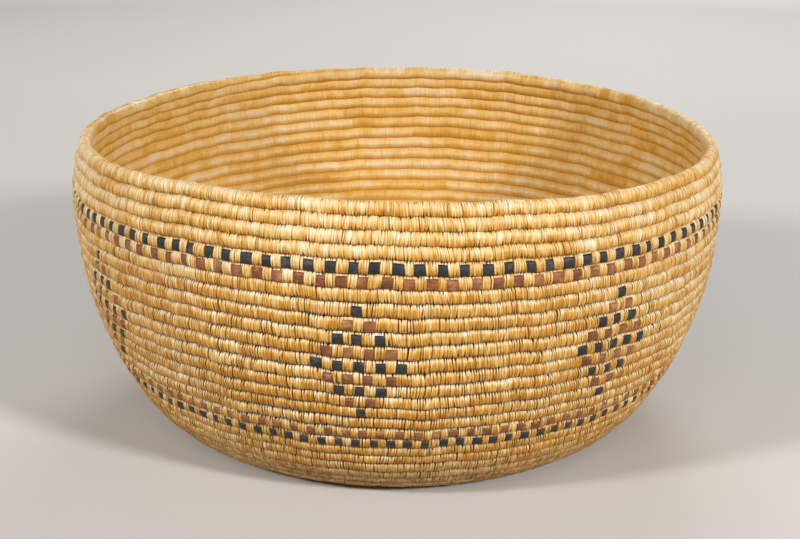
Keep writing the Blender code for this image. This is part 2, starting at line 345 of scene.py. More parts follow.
RING = (
    # angle round the section, depth of a gap in mm, then shares of each of the others: the crease
    # share is painted shade, and the last two are painted highlight where above zero and painted
    # shade where below
    (-90, 0.10, 0.0, 0.0, 0.0, 0.0, 0.5, 0.0, 1.0, -1.0, -1.0),
    (-64, 0.50, 0.8, 1.0, 0.0, 0.0, 0.5, 0.5, 0.3, -1.0, -1.0),
    (-38, 0.42, 1.0, 0.8, 0.0, 0.0, 0.2, 0.9, 0.0, -0.7, -0.8),
    (-10, 0.36, 1.0, 0.3, 0.0, 0.0, 0.0, 1.0, 0.0, -0.5, -0.5),
    (18, 0.34, 1.0, 0.0, 0.1, 0.0, 0.0, 1.0, 0.0, -0.3, 0.2),
    (44, 0.40, 1.0, 0.0, 0.4, 0.3, 0.1, 0.7, 0.0, 0.7, 0.3),
    (66, 0.60, 0.8, 0.0, 1.0, 0.9, 0.4, 0.2, 0.0, 1.2, -0.1),
    (84, 0.45, 0.6, 0.0, 1.0, 1.0, 0.7, 0.0, 0.0, 1.2, -0.3),
    (102, 0.0, 0.0, 0.0, 0.0, 0.2, 0.2, 0.0, 0.9, -0.5, 0.2),
    (134, 0.26, 0.4, 0.0, 0.0, 0.0, 0.0, 0.0, 0.5, 0.1, 0.4),
    (180, 0.22, 0.4, 0.0, 0.0, 0.0, 0.0, 0.0, 0.0, 0.8, 0.8),
    (226, 0.26, 0.4, 0.0, 0.0, 0.0, 0.0, 0.0, 0.6, -0.4, -0.4),
    (258, 0.0, 0.0, 0.0, 0.0, 0.0, 0.0, 0.0, 0.9, -0.5, -0.5),
)
RING = dict(zip(RING_COLUMNS, np.array(RING).T))
RING_ANGLES = np.radians(RING["angle"])
OVER_LIFT = 0.32 * MM
UNDER_SINK = 0.5 * MM
STITCH_SLANT = 0.07  # along the coil for each unit up it, most of the time
SLOW_SLANT = 3  # times as slow as the coil's own unevenness
QUICK_SLANT = 7  # times as quick
THIN_END_SHARE = 0.1
RIM_TAPER_ROWS = 3 / 24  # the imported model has 24 steps in a turn
START_TAPER_ROWS = 12 / 24
REST_SOFTNESS = 0.5 * MM


def wear(rows):
    """Nothing on the wall, growing in a straight line to one where the heel is rubbed."""
    return np.clip((rows - WEAR_STARTS) / WEAR_ROWS, 0, 1)


def face_fullness(rows, up):
    """Fullness of the outer face, above and below its middle: it changes by row below."""
    return np.where(up < 0, np.interp(rows, FOOT_ROWS, FOOT_FULLNESS), SHOULDER_FULLNESS)


def section_power(rows, ring):
    """Power that the cosine and sine of a ring angle are taken to: two over the fullness there."""
    face = face_fullness(rows, np.sin(ring)) + WORN_FULLNESS * wear(rows)
    return 2 / np.where(np.cos(ring) > 0, face, INSIDE_FULLNESS)


def thickness_share(rows):
    """One along the coil, falling in a straight line at the rim's end and at the coil's start."""
    near = np.minimum((rows - seam(1)) / RIM_TAPER_ROWS, (START_ROW - rows) / START_TAPER_ROWS)
    return THIN_END_SHARE + (1 - THIN_END_SHARE) * np.clip(near, 0, 1)


def coil_surface(rows, ring, out_by, up_by, push):
    """Points on the coil: a rounded section, carried along its line.

    At each ring angle the section reaches out by a power of its cosine and up by a power of its
    sine, then moves along the angle by push. A thin end lies against the turn next to it, and what
    would sink under the floor is pressed flat on it."""
    thin = thickness_share(rows)
    power = section_power(rows, ring)
    out_off = out_by * np.sign(np.cos(ring)) * np.abs(np.cos(ring)) ** power
    up_off = up_by * np.sign(np.sin(ring)) * np.abs(np.sin(ring)) ** power
    out_off = (out_off + push * np.cos(ring)) * thin
    up_off = (up_off + push * np.sin(ring)) * thin
    slant = STITCH_SLANT * (wander(rows / SLOW_SLANT, 3) + wander(rows * QUICK_SLANT, 4))
    spare = (1 - thin) * HALF_WIDTH / COIL_PITCH
    sunk = np.where(rows < WALL_ROWS, spare, -spare)
    along = slant * up_off / (2 * np.pi * coil_radius(rows))
    middle, out, up = coil_line(rows + along, sunk)
    points = middle + out * out_off[..., None] + up * up_off[..., None]
    low = points[..., 2] < REST_SOFTNESS
    pressed = REST_SOFTNESS * np.exp(points[..., 2] / REST_SOFTNESS - 1)
    points[..., 2] = np.where(low, pressed, points[..., 2])
    return points


def tube_mesh(name, points):
    """A closed tube over a grid of points, along by round, with a point to close each end."""
    along, around = points.shape[:2]
    numbers = np.arange(along * around).reshape(along, around)
    after = np.roll(numbers, -1, axis=1)
    faces = np.stack((numbers[:-1], after[:-1], after[1:], numbers[1:]), axis=-1).reshape(-1, 4)
    ends = points[[0, -1]].mean(axis=1)
    every = np.concatenate((points.reshape(-1, 3), ends))
    first_end, last_end = along * around, along * around + 1
    first_cap = np.stack((numbers[0], np.full(around, first_end), after[0]), axis=1)
    last_cap = np.stack((numbers[-1], after[-1], np.full(around, last_end)), axis=1)
    corners = np.concatenate((faces.ravel(), first_cap.ravel(), last_cap.ravel()))
    sizes = np.concatenate((np.full(len(faces), 4), np.full(2 * around, 3)))
    mesh = bpy.data.meshes.new(name)
    mesh.vertices.add(len(every))
    mesh.vertices.foreach_set("co", every.ravel().astype(np.float32))
    mesh.loops.add(len(corners))
    mesh.loops.foreach_set("vertex_index", corners.astype(np.int32))
    mesh.polygons.add(len(sizes))
    mesh.polygons.foreach_set("loop_start", np.append(0, np.cumsum(sizes)[:-1]).astype(np.int32))
    mesh.update(calc_edges=True)
    mesh.shade_smooth()
    return mesh


def corner_share(ring):
    """Nothing on the middle of the face and inside, and one where the face meets the next rows."""
    return np.where(np.cos(ring) > FACE_COSINE, np.sin(ring) ** 2, 0)


def stitched_length(name, first_row, end_row):
    """A length of the coil with all its stitches, between two seams.

    Each stitch has a column of points on its first edge, pressed in by its notch, and two on its
    flat, which draw together where the stitch comes to a point."""
    first, last = nearest_edges(np.array((seam(first_row), seam(end_row))))
    first, last = max(first, 1), min(last, stitch_count - 2)
    stitch = np.append(np.repeat(np.arange(first, last), len(COLUMN_SHARES)), last)
    share = np.append(np.tile(COLUMN_SHARES, last - first), 0)
    edge = share == 0

    def across(values, join=lambda before, after: (before + after) / 2):
        """The stitch's own value on its flat, and one joined from its neighbour's on its edge."""
        return np.where(edge, join(values[stitch - 1], values[stitch]), values[stitch])[:, None]

    ring = np.broadcast_to(RING_ANGLES, (len(stitch), len(RING_ANGLES)))
    corner = corner_share(ring)
    starts = stitch_edges[stitch][:, None] + edge_pull[stitch][:, None] * corner
    ends = stitch_edges[stitch + 1][:, None] + edge_pull[stitch + 1][:, None] * corner
    pinched = np.where(edge, 0, 0.5 - share)[:, None] * RING["pinch"]
    rows = starts + (share[:, None] + pinched) * (ends - starts)

    inner = np.clip(INNER_AT_SIDES - INNER_GAIN * np.cos(ring), 0, 1)
    worn = wear(rows) * (1 - INSIDE_TAKES["wear"] * inner)
    is_rim = rows < seam(2)
    reach = np.where(is_rim, 0, TOP_REACH + across(stitch_reach)) * RING["reach"]
    reach = reach * (1 - WEAR_TAKES["reach"] * worn)
    gaps = [face_gap[stitch], foot_gap[stitch], tip_gap[stitch]]
    gaps = [gap[:, None] * RING[place] for gap, place in zip(gaps, ("face", "foot", "tip"))]
    gap = np.where(edge[:, None], np.max(gaps, axis=0), 0).clip(0, WIDEST_GAP)
    notch = gap.clip(0, DEEPEST_GAP) * RING["depth"] * MM * (1 - WEAR_TAKES["notch"] * worn)
    lift = across(stitch_lift, np.minimum)
    lifted = np.where(lift > 0, lift * OVER_LIFT, lift * UNDER_SINK) * RING["lift"]
    swell = across(stitch_swell + strand_swell)
    inside = (np.cos(ring) < INSIDE_COSINE) & ~(is_rim & (np.sin(ring) > 0))
    width = np.where(inside, INSIDE_HALF_WIDTH, HALF_WIDTH + reach)
    points = coil_surface(rows, ring, HALF_THICKNESS + swell, width, lifted - notch)

    mesh = tube_mesh(name, points)
    # Painted shade in the gaps between stitches and in the creases between rows, which deepens down
    # the wall and is lighter on the worn heel
    crease_shade = RING["crease_shade"] * np.where(is_rim, np.sin(ring) < 0, 1)
    shade_depth = inner + np.interp(rows, SHADE_DEPTH_ROWS, SHADE_DEPTH_SHARES) * (1 - inner)
    recess_shade = (shade_depth * gap + shade_depth**2 * crease_shade) * (1 - WEAR_TAKES["recess_shade"] * worn)
    add_value(mesh, "recess_shade", recess_shade)
    add_value(mesh, "inner", inner)
    tone = across(strand_tone) * (1 + inner)
    tone = tone + across(stitch_tone) * (1 - INSIDE_TAKES["stitch_tone"] * inner)
    # The stitches' own tones, with painted shade that darkens them down the wall and lightens them
    # on the top rows
    add_value(mesh, "tone", tone - SHADE_DEPTH_DULLS * (shade_depth - 1))
    # Painted highlight over the top of each row and painted shade on its lower face, placed lower
    # on the rim's rows, and less on the worn heel
    below_rim = np.interp(rows, RIM_HIGHLIGHT_ROWS, (0, 1))
    highlight_and_shade = RING["rim_highlight_and_shade"] + (RING["highlight_and_shade"] - RING["rim_highlight_and_shade"]) * below_rim
    add_value(mesh, "highlight_and_shade", highlight_and_shade * (1 - WEAR_TAKES["highlight_and_shade"] * worn))
    add_value(mesh, "worn", worn)
    lay_maps(mesh, stitch + share, len(RING_ANGLES))
    return mesh


def add_value(mesh, name, values):
    """A value for each point of the grid, and an end ring's mean for the point that closes it."""
    every = np.append(values.ravel(), (values[0].mean(), values[-1].mean()))
    mesh.attributes.new(name, "FLOAT", "POINT").data.foreach_set("value", every.astype(np.float32))


COLUMN_TO_ROUND = 0.45 / 21  # width of a column of points over the length once round the coil
MAP_MARGIN = 0.02


def lay_maps(mesh, along, around):
    """Two maps of a tube. On the first, one unit is a stitch along and once round the coil across.
    The second cuts the tube into even lengths and lays them side by side to fill the square."""
    quads = (len(along) - 1) * around
    column = np.arange(quads) // around
    turn = np.arange(quads) % around
    corner_column = column[:, None] + np.array((0, 0, 1, 1))
    corner_turn = turn[:, None] + np.array((0, 1, 1, 0))
    cap = np.zeros(2 * around * 3)
    fibre = np.stack((along[corner_column].ravel(), corner_turn.ravel() / around), axis=1)
    fibre = np.concatenate((fibre, np.stack((cap, cap), axis=1)))
    mesh.uv_layers.new(name="stitches").uv.foreach_set("vector", fibre.ravel().astype(np.float32))

    lengths = int(np.ceil(np.sqrt((len(along) - 1) * COLUMN_TO_ROUND)))
    in_length = int(np.ceil((len(along) - 1) / lengths))
    length = column // in_length
    side = (corner_column - length[:, None] * in_length) / in_length
    height = (length[:, None] + MAP_MARGIN + (1 - 2 * MAP_MARGIN) * corner_turn / around) / lengths
    laid = np.stack((side.ravel(), height.ravel()), axis=1)
    laid = np.concatenate((laid, np.stack((cap, cap), axis=1)))
    mesh.uv_layers.new(name="OFBake").uv.foreach_set("vector", laid.ravel().astype(np.float32))


class Socket:
    """An output of a shader node, on which Python's arithmetic adds Math nodes."""

    def __init__(self, tree, link):
        self.tree, self.link = tree, link

    def math(self, operation, *values):
        node = self.tree.nodes.new("ShaderNodeMath")
        node.operation = operation
        for place, value in zip(node.inputs, values):
            if isinstance(value, Socket):
                self.tree.links.new(value.link, place)
            else:
                place.default_value = value
        return Socket(self.tree, node.outputs[0])

    def __add__(self, other):
        return self.math("ADD", self, other)

    def __radd__(self, other):
        return self.math("ADD", other, self)

    def __sub__(self, other):
        return self.math("SUBTRACT", self, other)

    def __rsub__(self, other):
        return self.math("SUBTRACT", other, self)

    def __mul__(self, other):
        return self.math("MULTIPLY", self, other)

    def __rmul__(self, other):
        return self.math("MULTIPLY", other, self)

    def __truediv__(self, other):
        return self.math("DIVIDE", self, other)

    def clamped(self):
        kept = self.math("ADD", self, 0.0)
        kept.link.node.use_clamp = True
        return kept


class Finish:
    """A material in the making: a Principled shader, and the nodes that feed it."""

    def __init__(self, name, roughness):
        self.material = bpy.data.materials.new(name)
        self.material.use_nodes = True
        self.tree = self.material.node_tree
        self.shader = self.tree.nodes["Principled BSDF"]
        self.shader.inputs["Roughness"].default_value = roughness

    def node(self, kind, output=0, settings=(), inputs=()):
        """Any node: its settings first, then its sockets' values or links."""
        made = self.tree.nodes.new(kind)
        for name, value in dict(settings).items():
            setattr(made, name, value)
        for place, value in dict(inputs).items():
            if isinstance(value, Socket):
                self.tree.links.new(value.link, made.inputs[place])
            else:
                made.inputs[place].default_value = value
        return Socket(self.tree, made.outputs[output])

    def value(self, name):
        return self.node("ShaderNodeAttribute", "Fac", {"attribute_name": name})

    def mix(self, share, first, second):
        """A colour that goes from the first to the second."""
        return self.node("ShaderNodeMix", 2, {"data_type": "RGBA"}, {0: share, 6: first, 7: second})

    def noise(self, where, scale, detail=2.0):
        """Unevenness from about a quarter to three quarters, in lumps of one over the scale."""
        inputs = {"Vector": where, "Scale": scale, "Detail": detail}
        return self.node("ShaderNodeTexNoise", "Fac", {}, inputs)

    def stretched(self, where, amounts):
        """A place with each of its numbers multiplied by an amount."""
        inputs = {0: where, 1: amounts}
        return self.node("ShaderNodeVectorMath", 0, {"operation": "MULTIPLY"}, inputs)

    def feed(self, place, socket):
        self.tree.links.new(socket.link, self.shader.inputs[place])

    def bump(self, height, strength, distance):
        inputs = {"Height": height, "Strength": strength, "Distance": distance}
        self.feed("Normal", self.node("ShaderNodeBump", "Normal", {}, inputs))


def colour(red, green, blue):
    """A colour picked on a screen, as the numbers that a shader mixes."""
    seen = np.array((red, green, blue)) / 255
    linear = np.where(seen <= 0.04045, seen / 12.92, ((seen + 0.055) / 1.055) ** 2.4)
    return (*linear.tolist(), 1.0)


# The grass of the stitches: dried and split, in amber, gold and straw that change from stitch to
# stitch and along the fibres, with dry dust and soil over the worn heel. Over this lie a painted
# highlight in pale straw on the top of each row and painted shade on its lower face, painted shade
# in dark brown in the gaps and creases outside and in golden brown inside, and a painted warm glow
# of bounce light inside the bowl. Its lightness runs from nothing for amber, through gold and
# straw, to 1.2 for the palest straw.
PALE_STRAW = colour(250, 240, 218)
STRAW = colour(241, 212, 157)
GOLD = colour(226, 174, 82)
AMBER = colour(188, 124, 28)
# Painted warm bounce light, which deepens the gold inside the bowl
INNER_BOUNCE_GOLD = colour(196, 154, 56)
# Painted shade for gaps, creases and grooves: dark brown outside, golden brown inside
CREASE_SHADE = colour(76, 37, 2)
INNER_CREASE_SHADE = colour(216, 164, 80)
DUST = colour(200, 158, 98)
SOIL = colour(104, 72, 36)
WIDE_STREAKS = (1.9, 2.5, 1.0)  # in a stitch, and once round the coil
FINE_STREAKS = (4.3, 4.0, 1.0)
HAIRS = (11.0, 6.0, 1.0)
FINE_STREAK_SHARE = 0.55
BLOTCHES = 26.0  # in a metre
PATCHES = 120.0
SPECKS = 420.0
PLAIN_LIGHT = 0.49  # lightness to start from, then what each adds to it
TONE_LIGHT = 0.12
# Next, what the painted highlight over each row's top and the painted shade below it add
HIGHLIGHT_AND_SHADE_LIGHT = 0.42
BLOTCH_LIGHT = 0.4
STREAK_LIGHT = 3.6
PATCH_LIGHT = 0.8
INNER_LIGHT = -0.06
INNER_STREAK_LIGHT = -1.4  # more than the outside's
INNER_PATCH_LIGHT = 0.8
SHADES_IN_LIGHT = 2.5  # steps from shade to shade in one unit of lightness
INNER_BOUNCE_SHARE = 0.45
DUST_COVER = 1.3  # of wear, less the edge below, covers with dust
DUST_EDGE = 0.15
DUST_SHARE = 0.7
SPECK_GAIN = 3.0
PATCH_GAIN = 1.5
DUST_OVER_SOIL = 0.6
CREASE_SHADE_SHARE = 0.92
GRASS_ROUGHNESS = 0.2
STREAK_ROUGHNESS = 0.2
HAIR_ROUGHNESS = 0.12
WORN_ROUGHNESS = 0.25
HOLLOW_ROUGHNESS = 0.4
GRASS_SPECULAR = 0.4
FIBRE_BUMP = 0.5
FIBRE_HEIGHT = 0.25 * MM


def grass_finish():
    """Split grass: amber, gold or straw for each stitch, streaked along its fibres, with a painted
    highlight where it bends over the top of the coil and painted shade under it, painted shade in
    the gaps and creases, and dust and soil that come in over the lowest rows."""
    finish = Finish("sewn grass", 0.4)
    fibre = finish.node("ShaderNodeUVMap", "UV", {"uv_map": "stitches"})
    wide_streak = finish.noise(finish.stretched(fibre, WIDE_STREAKS), 1.0)
    fine_streak = finish.noise(finish.stretched(fibre, FINE_STREAKS), 1.0)
    place = finish.node("ShaderNodeTexCoord", "Object")
    patch = finish.noise(place, PATCHES, detail=3.0)
    blotch = finish.noise(place, BLOTCHES)
    streak = wide_streak * (1 - FINE_STREAK_SHARE) + fine_streak * FINE_STREAK_SHARE
    hairs = finish.noise(finish.stretched(fibre, HAIRS), 1.0)
    recess_shade = finish.value("recess_shade")
    inner = finish.value("inner")

    light = PLAIN_LIGHT + finish.value("tone") * TONE_LIGHT + finish.value("highlight_and_shade") * HIGHLIGHT_AND_SHADE_LIGHT
    light = light + inner * INNER_LIGHT
    light = light + (streak - 0.5) * (STREAK_LIGHT + inner * INNER_STREAK_LIGHT)
    light = light + (blotch - 0.5) * BLOTCH_LIGHT
    light = light + (patch - 0.5) * (PATCH_LIGHT + inner * INNER_PATCH_LIGHT)
    base = AMBER
    for number, shade in enumerate((GOLD, STRAW, PALE_STRAW)):
        base = finish.mix((light * SHADES_IN_LIGHT - number).clamped(), base, shade)
    # Inside, the grass turns a deeper gold: a painted warm glow of light bounced round the bowl
    base = finish.mix(inner * INNER_BOUNCE_SHARE, base, INNER_BOUNCE_GOLD)

    worn = (finish.value("worn") * DUST_COVER + (blotch - 0.5) - DUST_EDGE).clamped()
    speck = finish.noise(place, SPECKS, detail=3.0)
    dust = (speck - 0.5) * SPECK_GAIN + (patch - 0.5) * PATCH_GAIN + DUST_OVER_SOIL
    base = finish.mix(worn * DUST_SHARE, base, finish.mix(dust.clamped(), SOIL, DUST))
    # Painted shade in the gaps and creases: dark brown outside and golden brown inside
    crease_shade = finish.mix(inner, CREASE_SHADE, INNER_CREASE_SHADE)
    finish.feed("Base Color", finish.mix((recess_shade * CREASE_SHADE_SHARE).clamped(), base, crease_shade))

    rough = GRASS_ROUGHNESS + streak * STREAK_ROUGHNESS + hairs * HAIR_ROUGHNESS
    rough = rough + worn * WORN_ROUGHNESS + recess_shade * HOLLOW_ROUGHNESS
    finish.feed("Roughness", rough.clamped())
    finish.shader.inputs["Specular IOR Level"].default_value = GRASS_SPECULAR
    finish.bump(streak * 0.5 + hairs * 0.5, FIBRE_BUMP, FIBRE_HEIGHT)
    return finish.material


grass = grass_finish()
LENGTHS = (
    # name, its first row, the row after its last, the imported node, its finish's name
    ("base_inner_rows", 31, START_ROW + 1, "base_coil", "worn_grass"),
    ("base_outer_rows", 26, 31, "base_coil", "worn_grass"),
    ("heel_lower_rows", 24, 26, "heel_coil", "worn_grass"),
    ("heel_upper_rows", 22, 24, "heel_coil", "worn_grass"),
    ("lower_plain_rows", 20, 22, "lower_wall_coil", "natural_grass"),
    ("lower_band_rows", 17, 20, "lower_wall_coil", "natural_grass"),
    ("diamond_lower_rows", 14, 17, "diamond_wall_coil", "natural_grass"),
    ("diamond_middle_rows", 11, 14, "diamond_wall_coil", "natural_grass"),
    ("diamond_upper_rows", 8, 11, "diamond_wall_coil", "natural_grass"),
    ("upper_band_rows", 5, 8, "upper_wall_coil", "natural_grass"),
    ("upper_plain_rows", 2, 5, "upper_wall_coil", "natural_grass"),
    ("rim_row", 1, 2, "rim_coil", "natural_grass"),
)


def show(name, mesh, material, node):
    """Puts a finished piece in the scene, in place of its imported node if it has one."""
    mesh.materials.append(material)
    piece = bpy.data.objects.new(name, mesh)
    bpy.context.scene.collection.objects.link(piece)
    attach(piece, "root")
    if node:
        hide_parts(node)
    return piece


for name, first_row, end_row, node, slot in LENGTHS:
    show(name, stitched_length(name, first_row, end_row), grass, node)


# The knot that the coil starts from, in the middle of the base: the end of the bundle bent into a
# tight button, which fills the first turn, and wrapped with the first stitches.
KNOT_WRAPS = 26
KNOT_OVERLAP = 0.6 * MM
KNOT_STEPS = 12
KNOT_MIDDLE_SHARE = 0.02  # of the way out, at which the rings of points start
KNOT_FULLNESS = 4
KNOT_GROOVE = 0.35 * MM
KNOT_GROOVE_SHADE = 0.7
KNOT_WEAR = (1.0, 0.2)  # underneath and on top


def knot_edge(rows):
    """Radius of the inner edge of the coil's first turn, and a little more, so that none shows
    between the knot and the turn."""
    thin = thickness_share(rows)
    spare = (1 - thin) * HALF_WIDTH / COIL_PITCH
    return coil_radius(rows - spare) - HALF_WIDTH * thin + KNOT_OVERLAP


def wrapped_knot(name):
    """A low button, worked from the middle of its underside out to its edge and back in over its
    top: its thickness falls off as a rounded power of the share of the way out to its edge, and
    grooves between the wraps deepen in a straight line."""
    across = np.linspace(KNOT_MIDDLE_SHARE, 1, KNOT_STEPS)
    wrap = np.repeat(np.arange(KNOT_WRAPS), len(COLUMN_SHARES))
    turn = wrap + np.tile(COLUMN_SHARES, KNOT_WRAPS)
    groove = np.where(np.tile(COLUMN_SHARES, KNOT_WRAPS) == 0, 1, 0)
    share = np.concatenate((across, across[-2::-1]))[:, None]
    side = np.repeat((-1, 1), (KNOT_STEPS, KNOT_STEPS - 1))[:, None]
    rows = START_ROW - 1 + turn / KNOT_WRAPS
    rest = 1 - share**KNOT_FULLNESS
    half = BASE_HEIGHT * rest**0.5 - KNOT_GROOVE * share * rest * groove
    radius = share * knot_edge(rows)
    angle = 2 * np.pi * rows
    middle = radius * np.sin(angle), -radius * np.cos(angle)
    points = np.stack((*middle, BASE_HEIGHT + side * half), axis=-1)
    mesh = tube_mesh(name, points)
    tones = sewing.normal(0, 1, KNOT_WRAPS)[wrap]
    add_value(mesh, "tone", np.broadcast_to(tones, points.shape[:2]))
    # Painted shade in the grooves between the wraps
    add_value(mesh, "recess_shade", KNOT_GROOVE_SHADE * groove * share)
    # The knot's top counts as inside: golden painted shade in its grooves and the painted warm
    # bounce light of the bowl
    add_value(mesh, "inner", np.broadcast_to((side + 1) / 2, points.shape[:2]))
    worn = np.where(side < 0, *KNOT_WEAR)
    add_value(mesh, "worn", np.broadcast_to(worn, points.shape[:2]))
    return mesh


show("start_knot_wrapped", wrapped_knot("start_knot_wrapped"), grass, "start_knot")


# The dyed strips: thin ribbons of dyed gut or leaf. Each lies on the face of its row, over the
# stitches under it at a block, and dips beneath the natural stitches between blocks.
STRIP_TOP = 2.4 * MM
STRIP_BOTTOM = -3.1 * MM
STRIP_THICKNESS = 0.3 * MM
STRIP_STEPS = 6  # up the row's face
# At six places along a block: height over the coil's plain face, share of the block, and stitches
STRIP_LEVELS = np.array((-0.75, 0.0, 0.1, 0.1, 0.0, -0.75)) * MM
BLOCK_SHARES = np.array((0, 0, 0.35, 0.65, 1, 1))
PAST_EDGE = np.array((-0.4, 0.08, 0, 0, -0.08, 0.4))
DYE_STRETCH = (1.0, 1.0, 3.0)  # grains are as much shorter up the wall
DYE_GRAINS = 380.0  # in a metre
DYE_SHADES = 110.0
DYE_PATCHES = 190.0
SHADE_GAIN = 2.2
GRAIN_GAIN = 2.0
FADED_LEVEL = 0.55
FADED_GAIN = 6.0
FADED_SHARE = 0.8
DYE_ROUGHNESS = 0.45
GRAIN_ROUGHNESS = 0.3
DYE_SPECULAR = 0.4
GRAIN_BUMP = 0.6
GRAIN_HEIGHT = 0.12 * MM


def ribbon_points(blocks):
    """A flat closed section across the row's face, carried along the row. It has six columns to a
    block: it comes up at one end, lies nearly flat, and dips under the stitches at the other."""
    edges = stitch_edges[blocks]
    pulls = edge_pull[blocks]
    one_stitch = (stitch_edges[blocks[:, 0] + 1] - stitch_edges[blocks[:, 0]])[:, None]
    rows = edges[:, :1] + (edges[:, 1:] - edges[:, :1]) * BLOCK_SHARES + one_stitch * PAST_EDGE
    pull = pulls[:, :1] + (pulls[:, 1:] - pulls[:, :1]) * BLOCK_SHARES
    heights = np.linspace(STRIP_BOTTOM, STRIP_TOP, STRIP_STEPS)
    across = np.concatenate((heights, heights[::-1]))
    rows = rows.ravel()[:, None]
    fullness = face_fullness(rows, across)
    ring = np.arcsin(np.sign(across) * np.abs(across / HALF_WIDTH) ** (fullness / 2))
    rows = rows + pull.ravel()[:, None] * corner_share(ring)
    depth = np.repeat((0, STRIP_THICKNESS), STRIP_STEPS)
    push = np.tile(STRIP_LEVELS, len(blocks))[:, None] - depth
    return coil_surface(rows, ring, HALF_THICKNESS, HALF_WIDTH, push)


def joined(meshes, name):
    """Several closed meshes as one."""
    pieces = [bpy.data.objects.new(name, mesh) for mesh in meshes]
    for piece in pieces:
        bpy.context.scene.collection.objects.link(piece)
    with bpy.context.temp_override(active_object=pieces[0], selected_editable_objects=pieces):
        bpy.ops.object.join()
    mesh = pieces[0].data
    bpy.data.objects.remove(pieces[0])
    return mesh


def dyed_finish(name, shade, other, faded):
    """Dyed strip: its shade strays towards another from block to block, with a fine grain that
    runs along it, and here and there the dye has faded."""
    finish = Finish(name, 0.55)
    place = finish.node("ShaderNodeTexCoord", "Object")
    grain = finish.noise(finish.stretched(place, DYE_STRETCH), DYE_GRAINS, detail=3.0)
    block = finish.noise(place, DYE_SHADES, detail=1.0)
    share = ((block - 0.5) * SHADE_GAIN + 0.5 + (grain - 0.5) * GRAIN_GAIN).clamped()
    patch = finish.noise(place, DYE_PATCHES, detail=3.0)
    fading = ((patch - FADED_LEVEL) * FADED_GAIN + (grain - 0.5) * GRAIN_GAIN).clamped()
    dyed = finish.mix(share, shade, other)
    finish.feed("Base Color", finish.mix(fading * FADED_SHARE, dyed, faded))
    finish.feed("Roughness", DYE_ROUGHNESS + grain * GRAIN_ROUGHNESS)
    finish.shader.inputs["Specular IOR Level"].default_value = DYE_SPECULAR
    finish.bump(grain, GRAIN_BUMP, GRAIN_HEIGHT)
    return finish.material


black = dyed_finish("black dyed strip", colour(24, 24, 27), colour(50, 49, 50), colour(84, 78, 70))
brown = dyed_finish(
    "brown dyed strip", colour(108, 58, 32), colour(156, 100, 60), colour(190, 138, 80)
)
for name, laid in strip_blocks.items():
    piece = "laid_" + name
    mesh = joined([tube_mesh(piece, ribbon_points(blocks)) for blocks in laid], piece)
    dye, slot = (black, "black_strip") if "black" in name else (brown, "brown_strip")
    show(piece, mesh, dye, name if name in BANDS else "diamond_wall_coil")


# Loose ends of grass: where strands are spliced a short end is left, some stand off the coil a
# little, a wisp curls off the left side, and a longer end lies along the inner edge of the rim.
LOOSE_ENDS = 110
LOOSE_STEPS = 7
LOOSE_SIDES = 5
LOOSE_RADIUS = 0.17 * MM
LOOSE_TAPER_SHARE = 0.8
LOOSE_START = 0.1 * MM  # over the coil's plain face
LOOSE_RINGS = 75  # degrees either way from the middle of the face, or of the inside
LOOSE_INSIDE_SHARE = 0.3
OUTWARD_RISE = 0.3  # of the direction that is taken as out of the coil
LOOSE_HEADING_SPREAD = 28  # degrees
LOOSE_LENGTHS = (1.5, 3.5)  # in mm
LOOSE_LIFTS = (1.5, 0.25)  # shape and scale of their chances, in mm
CHOSEN_ENDS = (
    # row, ring angle and heading in degrees (up across the coil is 90), length and lift in mm
    (7 - 0.247, 20, 200, 7.0, 3.2),
    (7 - 0.2455, 30, 150, 4.5, 2.0),
    (1 + 0.057, 104, 2, 6.0, 0.15),
    (5 - 0.16, -40, 240, 3.0, 0.8),
)


def loose_end(row, ring, heading, length, lift):
    """A thin round end, which starts on the surface of the coil and keeps a heading over it. It
    lifts off by the square of the way along, and thins in a straight line."""
    way = np.linspace(0, 1, LOOSE_STEPS)
    rows = row + way * length * np.cos(heading) / (2 * np.pi * coil_radius(row))
    rings = ring + way * length * np.sin(heading) / HALF_THICKNESS
    push = LOOSE_START + lift * way**2
    path = coil_surface(rows[:, None], rings[:, None], HALF_THICKNESS, HALF_WIDTH, push[:, None])
    ahead = np.gradient(path[:, 0], axis=0)
    outward = np.array((np.sin(2 * np.pi * row), -np.cos(2 * np.pi * row), OUTWARD_RISE))
    side = np.cross(ahead, outward)
    side /= np.linalg.norm(side, axis=1, keepdims=True)
    above = np.cross(side, ahead)
    above /= np.linalg.norm(above, axis=1, keepdims=True)
    turn = np.linspace(0, 2 * np.pi, LOOSE_SIDES, endpoint=False)[:, None]
    around = np.cos(turn) * side[:, None] + np.sin(turn) * above[:, None]
    return path + around * (LOOSE_RADIUS * (1 - LOOSE_TAPER_SHARE * way))[:, None, None]


trimming = np.random.default_rng(23)
spliced_rows = trimming.choice(stitch_edges[spliced & (stitch_edges < WALL_ROWS)], LOOSE_ENDS)
rings = trimming.uniform(-LOOSE_RINGS, LOOSE_RINGS, LOOSE_ENDS)
rings += 180 * (trimming.random(LOOSE_ENDS) < LOOSE_INSIDE_SHARE)
headings = trimming.choice((90, -90), LOOSE_ENDS)
headings = headings + trimming.normal(0, LOOSE_HEADING_SPREAD, LOOSE_ENDS)
lengths = trimming.uniform(*LOOSE_LENGTHS, LOOSE_ENDS)
lifts = trimming.gamma(*LOOSE_LIFTS, LOOSE_ENDS)
ends = [*CHOSEN_ENDS, *zip(spliced_rows, rings, headings, lengths, lifts)]
meshes = [
    tube_mesh("loose_ends", loose_end(row, np.radians(ring), np.radians(way), long * MM, lift * MM))
    for row, ring, way, long, lift in ends
]
show("loose_ends", joined(meshes, "loose_ends"), grass, None)


